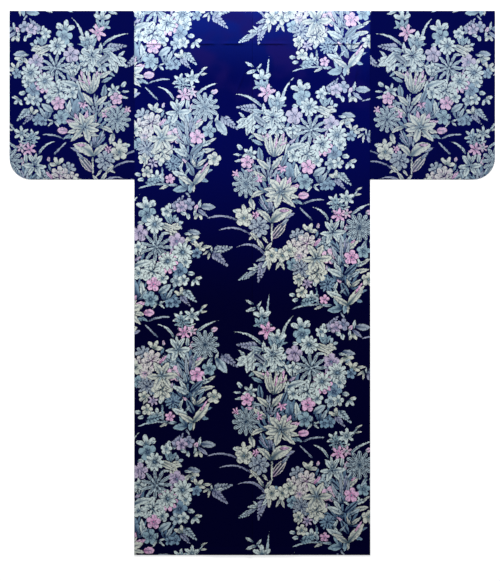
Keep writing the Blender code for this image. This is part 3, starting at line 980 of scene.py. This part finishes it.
def shell(outline, petals, step, place, rows=(), sewn=unsewn, inside=None, spots=()):
    """Points and faces of one closed piece of cloth, with the petal over each face."""
    flat_out, tris_out, over = cut_flat(outline, petals, step, rows, spots)
    flat_in, tris_in, _ = cut_flat(outline, [], 2 * step, rows)
    loop_out = edge_loop(tris_out, flat_out, outline[0])
    loop_in = edge_loop(tris_in, flat_in, outline[0])
    runs_out = runs_of(loop_out, flat_out, sewn)
    runs_in = runs_of(loop_in, flat_in, sewn)
    outer, under_outer = place(*flat_out.T)
    outer[loop_out[1:]] += EDGE_PINCH * (under_outer - outer)[loop_out[1:]]
    moved = flat_in.copy()
    for kind, run in runs_in:
        if kind:
            moved[run] = inside(*flat_in[run].T)
    over_inner, inner = place(*moved.T)
    inner[loop_in[1:]] += EDGE_PINCH * (over_inner - inner)[loop_in[1:]]
    flat = np.concatenate([flat_out, flat_in])
    faces = tris_out.tolist() + (tris_in[:, ::-1] + len(flat_out)).tolist()
    rims = []
    rim_flat = []

    def rim(run, kind):
        """A row of vertices along an edge, half way between its two sides."""
        heading = np.gradient(flat[run], axis=0)
        out = np.stack([heading[:, 1], -heading[:, 0]], 1)
        spot = flat[run] + EDGE_BULGE * out / np.linalg.norm(out, axis=1, keepdims=True)
        across = place(spot[:, 0], -spot[:, 1])[0] if kind else place(*spot.T)[1]
        first = len(flat) + sum(len(row) for row in rims)
        closed = run[0] == run[-1]
        rims.append((place(*spot.T)[0] + across)[: len(run) - closed] / 2)
        rim_flat.append(flat[run][: len(run) - closed])
        chain = list(range(first, first + len(rims[-1])))
        return chain + chain[:1] if closed else chain

    ends = {}
    seams = []
    for (kind, out), (_, run) in zip(runs_out, runs_in):
        within = [v + len(flat_out) for v in run]
        if kind:
            seams.append((out, within))
            continue
        row = rim(out, kind)
        faces += bridge(out, shares(out, flat), row, shares(out, flat))
        faces += bridge(row, shares(out, flat), within, shares(within, flat))
        for end in (0, -1):
            ends[out[end]] = row[end], within[end]
    upper = [seam for seam in seams if flat[seam[0]][:, 1].mean() < 0]
    lower = [seam for seam in seams if flat[seam[0]][:, 1].mean() > 0]
    for (out, within), (far_out, far_within) in zip(upper, lower):
        far_out = far_out[::-1]
        far_within = far_within[::-1]
        row = rim(out, True)
        faces += bridge(out, shares(out, flat), row, shares(out, flat))
        faces += bridge(row, shares(out, flat), far_out, shares(far_out, flat))
        faces += bridge(within, shares(within, flat), far_within, shares(far_within, flat))
        for end in (0, -1):
            near = ends[out[end]]
            far = ends[far_out[end]]
            cap = [out[end], *near, *far[::-1], far_out[end], row[end]]
            faces += [(cap[0], cap[i], cap[i + 1]) for i in range(1, len(cap) - 1)]
    bare = len(faces) - len(over)
    skin = np.repeat([0, 1, 2], [len(tris_out), len(tris_in), bare - len(tris_in)])
    points = np.concatenate([outer, inner] + rims)
    flat = np.concatenate([flat] + rim_flat)
    return Shell(points, faces, flat, np.concatenate([over, np.zeros(bare, int)]), skin)


print("at an edge, each shell narrows to", CLOTH * (1 - 2 * EDGE_PINCH) * 1000, "mm")

# %% [markdown]
# ## Storing the print on the mesh
#
# Each face carries its petal's sizes and inks, and each corner of it carries its place on that
# petal: how far from root to tip, and how far from the middle line. The material reads these.
# Each piece has a flat map as well, with room for every skin, so that its finish can be baked.

# %% Flat map of a piece
MAP_GAP = 0.01


def lay_out_map(mesh, made, corners, of_corner):
    """A flat map of the piece: both layers of both skins side by side."""
    layer = mesh.uv_layers.new(name="OFBake")
    low = made.flat.min(0)
    high = made.flat.max(0)
    width = high[0] - low[0] + MAP_GAP
    folds = low[1] < -0.1 and high[1] > 0.1
    spot = made.flat[corners]
    lower = folds * (spot[:, 1].reshape(-1, 3).mean(1) > 0)
    column = (2 * (made.skin == 1) + lower)[of_corner]
    tall = max(-low[1], high[1]) if folds else high[1] - low[1]
    size = max(4 * width, tall + MAP_GAP)
    rise = abs(spot[:, 1]) if folds else spot[:, 1] - low[1]
    across = spot[:, 0] - low[0] + column * width
    uv = (np.stack([across, rise], 1) + MAP_GAP / 2) / size
    layer.data.foreach_set("uv", np.ascontiguousarray(uv, np.float32).ravel())


print("the parts of a map lie", MAP_GAP, "m apart on the cloth")

# %% Mesh of a piece
SHELL_SMOOTH = math.radians(50)
BARE = Petal(0, 5, 0, 1, 1, 0.5, 0.5, 0, PLAIN, "white")  # stands for bare ground, first in each list
OFF_PETAL = 3  # how far out bare ground counts as lying, where a petal's edge is within 1
random.seed(7)


def store(mesh, name, kind, domain, key, values):
    layer = mesh.attributes.new(name, kind, domain)
    layer.data.foreach_set(key, np.ascontiguousarray(values, np.float32).ravel())


def piece_mesh(name, made, petals):
    """A mesh from a shell, with its print stored on it."""
    drawn = [BARE] + petals
    mesh = bpy.data.meshes.new(name)
    mesh.from_pydata(made.points.tolist(), [], made.faces)
    work = bmesh.new()
    work.from_mesh(mesh)
    bmesh.ops.recalc_face_normals(work, faces=work.faces[:])
    if work.calc_volume(signed=True) < 0:
        bmesh.ops.reverse_faces(work, faces=work.faces[:])
    open_edges = sum(not e.is_manifold for e in work.edges)
    work.to_mesh(mesh)
    work.free()
    mesh.shade_smooth()
    mesh.set_sharp_from_angle(angle=SHELL_SMOOTH)
    corners = np.empty(len(mesh.loops), int)
    mesh.loops.foreach_get("vertex_index", corners)
    sizes = np.array([p[:9] for p in drawn], float)
    x, y, turn, length, half, root, tip, arch, style = sizes[made.over].T
    of_corner = np.repeat(np.arange(len(made.faces)), 3)
    spot = made.flat[corners]
    dx = spot[:, 0] - x[of_corner]
    dy = spot[:, 1] - y[of_corner]
    cos = np.cos(np.radians(turn))[of_corner]
    sin = np.sin(np.radians(turn))[of_corner]
    u = (dx * cos + dy * sin) / length[of_corner]
    v = (dy * cos - dx * sin) / half[of_corner]
    bare = made.over[of_corner] == 0
    u[bare] = 0
    v[bare] = OFF_PETAL
    store(mesh, "petal_place", "FLOAT_VECTOR", "CORNER", "vector", np.stack([u, v, 0 * u], 1))
    peak = root / (root + tip)
    tallest = peak**root * (1 - peak) ** tip
    store(mesh, "petal_cut", "FLOAT_VECTOR", "FACE", "vector", np.stack([root, tip, 1 / tallest], 1))
    chance = np.array([random.random() for _ in drawn])[made.over]
    store(mesh, "petal_make", "FLOAT_VECTOR", "FACE", "vector", np.stack([1000 * half, style, chance], 1))
    store(mesh, "petal_bend", "FLOAT", "FACE", "value", arch * length / half)
    for end, layer in enumerate(("ink_root", "ink_tip")):
        colours = np.array([(*linear(INKS[p.ink][end]), 1) for p in drawn])[made.over]
        store(mesh, layer, "FLOAT_COLOR", "FACE", "color", colours)
    lay_out_map(mesh, made, corners, of_corner)
    piece = bpy.data.objects.new(name, mesh)
    bpy.context.scene.collection.objects.link(piece)
    print(f"{name}: {len(made.faces)} faces, {len(petals)} petals, {open_edges} open edges")
    return piece


print("edges sharper than", round(math.degrees(SHELL_SMOOTH)), "degrees stay sharp")

# %% [markdown]
# ## Writing a material in sums
#
# A wire is one socket's value on its way through the material. Sums on wires add the nodes, so
# the drawing of a petal reads like the formula that it is.

# %% Wires and recipes
class Wire:
    """One value, colour or vector in a material, which Python's operators can work on."""

    def __init__(self, recipe, socket):
        self.recipe = recipe
        self.socket = socket

    def math(self, operation, *inputs):
        return self.recipe.add("ShaderNodeMath", {"operation": operation}, dict(enumerate(inputs)))

    def __add__(self, other):
        return self.math("ADD", self, other)

    def __sub__(self, other):
        return self.math("SUBTRACT", self, other)

    def __rsub__(self, other):
        return self.math("SUBTRACT", other, self)

    def __mul__(self, other):
        return self.math("MULTIPLY", self, other)

    def __truediv__(self, other):
        return self.math("DIVIDE", self, other)

    def __pow__(self, other):
        return self.math("POWER", self, other)

    def __abs__(self):
        return self.math("ABSOLUTE", self)

    __radd__ = __add__
    __rmul__ = __mul__

    def greater(self, other):
        return self.math("MAXIMUM", self, other)

    def lesser(self, other):
        return self.math("MINIMUM", self, other)

    def below(self, limit):
        return self.math("LESS_THAN", self, limit)

    def fraction(self):
        return self.math("FRACT", self)

    def sine(self):
        return self.math("SINE", self)

    def between(self, low, high):
        """0 below low, 1 above high, and smooth from one to the other."""
        return self.recipe.add(
            "ShaderNodeMapRange",
            {"interpolation_type": "SMOOTHSTEP"},
            {"Value": self, "From Min": low, "From Max": high},
        )


class Recipe:
    """A material under construction."""

    def __init__(self, name):
        self.material = bpy.data.materials.new(name)
        self.material.use_nodes = True
        self.tree = self.material.node_tree
        self.shader = self.tree.nodes["Principled BSDF"]

    def add(self, kind, settings, inputs, output=0):
        """Adds a node: its type, its settings, then the values or wires of its sockets."""
        node = self.tree.nodes.new(kind)
        for key, value in settings.items():
            setattr(node, key, value)
        for key, value in inputs.items():
            self.feed(node.inputs[key], value)
        return Wire(self, node.outputs[output])

    def feed(self, socket, value):
        if isinstance(value, Wire):
            self.tree.links.new(value.socket, socket)
        else:
            socket.default_value = value

    def read(self, name, output="Fac"):
        return self.add("ShaderNodeAttribute", {"attribute_name": name}, {}, output)

    def parts(self, vector):
        """The three numbers in a vector."""
        node = self.tree.nodes.new("ShaderNodeSeparateXYZ")
        self.feed(node.inputs[0], vector)
        return [Wire(self, out) for out in node.outputs]

    def mix(self, share, first, second):
        """A colour between two colours. Sockets 6 and 7 of the Mix node are its colours."""
        return self.add("ShaderNodeMix", {"data_type": "RGBA"}, {0: share, 6: first, 7: second}, 2)

    def noise(self, where, scale, detail=2.0):
        return self.add("ShaderNodeTexNoise", {}, {"Vector": where, "Scale": scale, "Detail": detail})


print("ready to mix materials")

# %% [markdown]
# ## Printed cotton
#
# The ground is a deep navy that takes the light softly. A petal's pale fill stops short of its
# edge, so a dark line parts it from its neighbours, as the paste does in a resist print. Ribs,
# hatching and a darker root come from the place on the petal. Over all of it lies the weave.

# %% The cloth's material
GROUND = (0.0000, 0.0000, 0.024, 1)
# painted light: the ground is drawn lighter on the upper half, as if lit more there
UPPER_GROUND_PAINTED_LIGHT = (0.0000, 0.0014, 0.075, 1)  # on the upper half
# painted light and sheen: the ground is drawn paler and bluer at the back's shoulders
SHOULDER_GROUND_PAINTED_LIGHT = (0.0036, 0.0126, 0.186, 1)  # at the back's shoulders
PLUM = (0.0095, 0.0050, 0.098, 1)  # the ground's cast in soft patches there
# painted light: a bluish cast of sky light drawn over the pale inks towards the top
SKY_CAST = (0.58, 0.78, 1.0, 1)  # the cast of the pale inks there
RIB = (0.026, 0.062, 0.140, 1)
HOLLOW = (0.004, 0.010, 0.050, 1)  # the dark between the strokes of a looped or hatched petal
# painted shade: past this edge the sleeves are drawn darker than the back, as if less lit
BODY_SHADE = (SIDE - 0.004, SIDE + 0.004)  # where the back's tone gives way to the sleeves'
LINE_WIDTH = 1.7  # millimetres of dark line round a petal
WOBBLE = 7.5  # millimetres from the furthest in to the furthest out that noise can move a petal's edge
HATCH_STEP = 7.5  # millimetres from one hatched line to the next
THREADS = 1700  # threads in a metre


def printed_cotton():
    recipe = Recipe("printed_cotton")
    u, reach, _ = recipe.parts(recipe.read("petal_place", "Vector"))
    root, tip, peak = recipe.parts(recipe.read("petal_cut", "Vector"))
    half, style, chance = recipe.parts(recipe.read("petal_make", "Vector"))
    bend = recipe.read("petal_bend")
    where = recipe.add("ShaderNodeTexCoord", {}, {}, "Object")
    x, y, _ = recipe.parts(where)

    # The petal's edge, and the dark line inside it
    wobble = recipe.noise(where, 210, 3.0) - 0.5
    v = abs(reach - bend * 4 * u * (1 - u))
    low = u.greater(0.0001)
    high = (1 - u).greater(0.0001)
    profile = low**root * high**tip * peak
    room = (profile - v) * half + wobble * WOBBLE
    line = (half * 0.34).lesser(LINE_WIDTH)
    shown = room.between(line * 0.5, line)

    # The fill: deeper along the root, with a rib and fine veins
    middle = 1 - v.between(0.15, 0.75)
    deep = middle * (1 - u.between(0.05, 0.65))
    fill = recipe.mix(deep, recipe.read("ink_tip", "Color"), recipe.read("ink_root", "Color"))
    large = half.between(2.5, 6)
    rib = (1 - v.between(0.03, 0.28)) * (1 - u.between(0.6, 0.92)) * (0.35 + 0.4 * large)
    slant = u * 8 - v * 1.6
    vein = abs(slant.fraction() - 0.5).between(0.38, 0.48) * large * 0.3
    ribs = style.below(RIBBED + 0.5) * rib.greater(vein)
    dabs = recipe.noise(where, 190, 3.0).between(0.46, 0.66) * 0.62
    inked = recipe.mix(ribs.greater(dabs), fill, RIB)
    looped = 1 - abs(style - LOOPED).between(0.4, 0.5)
    hatch = 1 - abs(style - HATCHED).between(0.4, 0.5)
    stripes = v * half / HATCH_STEP
    stripe = abs(stripes.fraction() - 0.5).between(0.10, 0.24)
    hollow = (looped * v.between(0.1, 0.28) + hatch * stripe) * 0.94 * room.between(2.8, 3.4)
    inked = recipe.mix(hollow, inked, HOLLOW)

    # The ground, with painted light and sheen making it paler and bluer at the back's shoulders, painted
    # shade on the sleeves, and threads of uneven strength
    # 1 on the back, 0 on the sleeves; it limits the painted light and sets the painted shade
    body = 1 - abs(x).between(*BODY_SHADE)
    # painted light: the ground grows lighter towards the top, as the lamp's falloff would make it
    ground = recipe.mix(y.between(-0.1, 0.45), GROUND, UPPER_GROUND_PAINTED_LIGHT)
    # painted light and sheen at the back's shoulders
    ground = recipe.mix(y.between(0.55, 0.78) * body * 0.9, ground, SHOULDER_GROUND_PAINTED_LIGHT)
    patch = recipe.noise(where, 9.0, 2.0).between(0.46, 0.62) * y.between(0.4, 0.66) * body * 0.6
    ground = recipe.mix(patch, ground, PLUM)
    # painted sky light: the pale inks are drawn bluer towards the top, a little more on the back
    cast = y.between(0.0, 0.6) * (0.26 + 0.08 * body)
    cloth = recipe.mix(shown, ground, recipe.mix(cast, inked, SKY_CAST))
    thread = recipe.add("ShaderNodeMapping", {}, {"Vector": where, "Scale": (60, 900, 1)})
    weft = recipe.add("ShaderNodeMapping", {}, {"Vector": where, "Scale": (900, 60, 1)})
    slub = recipe.noise(thread, 1.0) + recipe.noise(weft, 1.0)
    worn = recipe.noise(where, 35, 3.0)
    # painted shade: the sleeves' colour is scaled down to 0.77 of the back's; the threads, wear and
    # chance terms are the cloth's own tone
    tone = (0.78 + 0.13 * slub + 0.10 * worn + 0.06 * chance) * (0.77 + 0.23 * body)
    shaded = recipe.add("ShaderNodeVectorMath", {"operation": "SCALE"}, {0: cloth, "Scale": tone})
    shader = recipe.shader
    recipe.feed(shader.inputs["Base Color"], shaded)
    recipe.feed(shader.inputs["Roughness"], 0.76 + 0.2 * worn)
    warp = (x * THREADS * math.tau).sine()
    woof = (y * THREADS * math.tau).sine()
    weave = recipe.add(
        "ShaderNodeBump", {}, {"Strength": 0.25, "Distance": 0.0001, "Height": warp * woof + slub}
    )
    recipe.feed(shader.inputs["Normal"], weave)
    shader.inputs["Specular IOR Level"].default_value = 0.02
    shader.inputs["Sheen Weight"].default_value = 0.01
    shader.inputs["Sheen Roughness"].default_value = 0.5
    return recipe.material


COTTON = printed_cotton()
print("printed cotton has", len(COTTON.node_tree.nodes), "nodes")

# %% [markdown]
# ## Body panels
#
# One length of cloth makes the back and the front of each side, so its print runs on over the
# shoulder. The panel is drawn flat, with the crest of the fold at 0, and then laid.

# %% Body panels
STEP = 0.010


def area_of(outline):
    """Area inside a closed outline."""
    crossings = (a[0] * b[1] - b[0] * a[1] for a, b in zip(outline, outline[1:] + outline[:1]))
    return abs(sum(crossings)) / 2


def dress(node, outline, place, petals=None, rows=(), sewn=unsewn, inside=None, spots=()):
    """Makes the printed cloth of a node."""
    corners = np.array(outline)
    if petals is None:
        petals = printed(corners.min(0), corners.max(0))
    made = shell(outline, petals, STEP, place, rows, sewn, inside, spots)
    piece = piece_mesh(node + "_cloth", made, petals)
    piece.data.materials.append(COTTON)
    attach(piece, "root")
    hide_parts(node)
    area_of(outline)


def mirrored(outline, side):
    """The outline for one side, always running the same way round."""
    flipped = [(side * x, y) for x, y in outline]
    return flipped if side > 0 else flipped[:1] + flipped[:0:-1]


def tip_height():
    """Y of the overlap panel's upper tip, on the collar's seam."""
    low = left_seam(COLLAR_END)
    share = (low + FRONT_SEAM) / (low - left_seam(TOP))
    return COLLAR_END + share * (TOP - COLLAR_END)


FOLD_ROWS = [share * HALF_ARC for share in (-1, -0.67, -0.33, 0, 0.33, 0.67, 1)]
TUCK_ROWS = [-along_of(TUCK + dy) for dy in (-TUCK_RUN, -TUCK_RUN / 2, 0, TUCK_LAP / 2, TUCK_LAP)]
HEM_ROWS = [-along_of(y) for y in (HEM + HEM_TURN, HEM + HEM_TURN + TUCK_RUN)]


def body_panel(name, side):
    def lower(x, y):
        return right_front_height(x, y) if side > 0 else 0 * x

    def upper(x, y):
        return back_height(x, y) + back_relief(x, y)

    def sewn(x, along):
        return abs(x) > SIDE - GAP and abs(along) > along_of(SIDE_SEAM_END)

    def inside(x, along):
        return np.stack([x - side * CLOTH, along], 1)

    hem = along_of(HEM)
    seam = FRONT_SEAM + GAP / 2
    neck = -left_seam(TOP) + GAP
    outline = [
        (SIDE, -hem),
        (SIDE, -along_of(SIDE_SEAM_END)),
        (SIDE, along_of(SIDE_SEAM_END)),
        (SIDE, hem),
        (seam, hem),
        (seam, along_of(tip_height())),
        (neck, HALF_ARC),
        (neck, -HALF_ARC),
        (GAP / 2, -HALF_ARC),
        (GAP / 2, -hem),
    ]
    rows = FOLD_ROWS + TUCK_ROWS + HEM_ROWS
    place = folded(upper, lower)
    spots = [(x, -along_of(y)) for x, y in crease_points(BACK_CREASES)]
    if side < 0:
        band = [-SEAM_TURN - TUCK_RUN, -SEAM_TURN - TUCK_RUN / 2, -SEAM_TURN]
        spots += [(x, -along_of(y)) for x in band for y in np.arange(HEM + 0.01, FOLD_Y - 0.01, 0.006)]
    dress(name, mirrored(outline, side), place, rows=rows, sewn=sewn, inside=inside, spots=spots)


body_panel("body_left", -1)
body_panel("body_right", 1)

# %% [markdown]
# ## Sleeves
#
# A sleeve is a length of cloth folded at the top and sewn shut round its lower edge, with the
# hand opening left at the outer edge. Its inner edge joins the body at the armhole.

# %% Sleeves
CORNER_STEPS = 8
SLEEVE_PRINT = 0.955  # the print is a little smaller on the sleeves
SLEEVE_SHIFT = (147.3 * SQUARE, 59.3 * SQUARE)  # where on the bolt the sleeve's print starts


def sleeve(name, side):
    def lower(x, y):
        return 0 * x

    def upper(x, y):
        return LAYER + sleeve_relief(x, y)

    def sewn(x, along):
        return abs(x) > inner + GAP and abs(along) > along_of(CUFF_END)

    def inside(x, along):
        core_x = side * np.minimum(abs(x), SLEEVE_END - SLEEVE_ROUND)
        core_y = np.copysign(np.minimum(abs(along), bottom - SLEEVE_ROUND), along)
        inwards = np.stack([core_x - x, core_y - along], 1)
        return np.stack([x, along], 1) + CLOTH * inwards / np.linalg.norm(inwards, axis=1, keepdims=True)

    inner = SIDE + GAP
    bottom = along_of(SLEEVE_BOTTOM)
    outline = [(inner, -bottom)]
    for i in range(CORNER_STEPS + 1):
        angle = math.pi / 2 * i / CORNER_STEPS
        x = SLEEVE_END - SLEEVE_ROUND + SLEEVE_ROUND * math.sin(angle)
        outline.append((x, -bottom + SLEEVE_ROUND - SLEEVE_ROUND * math.cos(angle)))
    outline.append((SLEEVE_END, -along_of(CUFF_END)))
    outline += [(x, -y) for x, y in reversed(outline)]
    outline = mirrored(outline, side)
    corners = np.array(outline)
    petals = printed(corners.min(0), corners.max(0), SLEEVE_SHIFT, side < 0, SLEEVE_PRINT)
    spots = [(side * x, -along_of(y)) for x, y in crease_points(SLEEVE_CREASES)]
    dress(name, outline, folded(upper, lower), petals, FOLD_ROWS, sewn, inside, spots)


sleeve("sleeve_left", -1)
sleeve("sleeve_right", 1)

# %% [markdown]
# ## Overlap panels and collar
#
# These lie face down beneath the back. The two overlap panels widen the fronts, so that one can
# wrap over the other. The collar is one long straight band that runs from one front's edge,
# round the neck and down the other, so it is cut straight and bent into place.

# %% Overlap panels
def overlap(name, side):
    def place(x, y):
        z = right_front_height(x, y) if side > 0 else 0 * x
        return [np.stack([x, y, z], 1), np.stack([x, y, z + CLOTH], 1)]

    seam = -FRONT_SEAM + GAP / 2
    outline = [
        (seam, HEM),
        (FRONT_EDGE, HEM),
        (FRONT_EDGE, COLLAR_END - GAP),
        (left_seam(COLLAR_END) - GAP, COLLAR_END - GAP),
        (seam, tip_height() - 6 * GAP),
    ]
    dress(name, mirrored(outline, -side), place)


overlap("overlap_left", -1)
overlap("overlap_right", 1)

# %% Collar
COLLAR_STEP = 0.034


def collar_sections():
    """Points across the collar, seam side and free side, from the left end round to the right end."""
    neck_y = FOLD_Y - COLLAR_WIDTH
    rows = np.linspace(COLLAR_END, neck_y - 0.02, math.ceil((neck_y - COLLAR_END) / COLLAR_STEP))
    left = [(left_seam(y), y, left_edge(y), y) for y in rows]
    left.append((left_seam(TOP), FOLD_Y, left_edge(neck_y), neck_y))
    right = [(-seam_x, seam_y, -free_x, free_y) for seam_x, seam_y, free_x, free_y in reversed(left)]
    return np.array(left + right)


def collar(name):
    sections = collar_sections()
    middle = (sections[:, :2] + sections[:, 2:]) / 2
    reach = np.concatenate([[0], np.cumsum(np.linalg.norm(np.diff(middle, axis=0), axis=1))])

    def place(x, along):
        seam_x, seam_y, free_x, free_y = [np.interp(along, reach, column) for column in sections.T]
        share = x / COLLAR_WIDTH
        x = seam_x + (free_x - seam_x) * share
        y = seam_y + (free_y - seam_y) * share
        z = np.where(along > reach[-1] / 2, right_front_height(x, y), 0)
        return [np.stack([x, y, z], 1), np.stack([x, y, z + CLOTH], 1)]

    outline = [(0, 0), (COLLAR_WIDTH, 0), (COLLAR_WIDTH, reach[-1]), (0, reach[-1])]
    dress(name, outline, place, rows=reach[1:-1].tolist())


collar("collar")

# %% [markdown]
# ## The table, the light and the camera
#
# The robe is seen from straight above, as in a catalogue. A broad soft light beyond the neck end
# leaves the hem darker than the shoulders, and painted light in the cloth's ground adds to that
# difference; a dim sky fills the shadows.

# %% Floor
def plain(name, colour, glow):
    recipe = Recipe(name)
    grain = recipe.noise(recipe.add("ShaderNodeTexCoord", {}, {}, "Object"), 3.0)
    warmer = (*colour[:2], 0.98 * colour[2], 1)
    recipe.feed(recipe.shader.inputs["Base Color"], recipe.mix(grain, colour, warmer))
    recipe.shader.inputs["Roughness"].default_value = 0.9
    recipe.shader.inputs["Emission Color"].default_value = (1, 1, 1, 1)
    recipe.shader.inputs["Emission Strength"].default_value = glow
    return recipe.material


bpy.ops.mesh.primitive_plane_add(size=8, location=(0, 0, 0))
floor = bpy.context.object
floor.name = "floor"
floor.data.materials.append(plain("pale_floor", (0.90, 0.90, 0.90, 1), 0.60))
print("the floor is", floor.dimensions.x, "m wide")

# %% Light
KEY_PLACE = Vector((-0.12, 1.95, 1.4))
KEY_AIM = Vector((0, 0.2, 0))
key = bpy.data.lights.new("key", "AREA")
key.shape = "RECTANGLE"
key.size = 2.2
key.size_y = 0.8
key.energy = 66
key_lamp = bpy.data.objects.new("key", key)
key_lamp.location = KEY_PLACE
key_lamp.rotation_euler = (KEY_AIM - KEY_PLACE).to_track_quat("-Z", "Y").to_euler()
bpy.context.scene.collection.objects.link(key_lamp)
world = bpy.data.worlds.new("sky")
world.use_nodes = True
sky = world.node_tree.nodes["Background"]
sky.inputs["Color"].default_value = (0.92, 0.96, 1.0, 1)
sky.inputs["Strength"].default_value = 0.24
bpy.context.scene.world = world
bpy.context.scene.view_settings.view_transform = "Standard"
print(f"the light is {(KEY_AIM - KEY_PLACE).length:.1f} m from where it aims")

# %% Camera
PICTURE_HEIGHT = 581 * SQUARE  # how much of the table the picture shows, top to bottom
PICTURE_MIDDLE = (-0.0062, -0.0210)
CAMERA_HEIGHT = 6.0
CAMERA_SENSOR = 36.0
lens = bpy.data.cameras.new("camera")
lens.sensor_width = CAMERA_SENSOR
lens.lens = CAMERA_SENSOR * CAMERA_HEIGHT / PICTURE_HEIGHT
camera = bpy.data.objects.new("camera", lens)
camera.location = (*PICTURE_MIDDLE, CAMERA_HEIGHT)
bpy.context.scene.collection.objects.link(camera)
bpy.context.scene.camera = camera
print(f"the lens is {lens.lens:.0f} mm, {CAMERA_HEIGHT} m up")
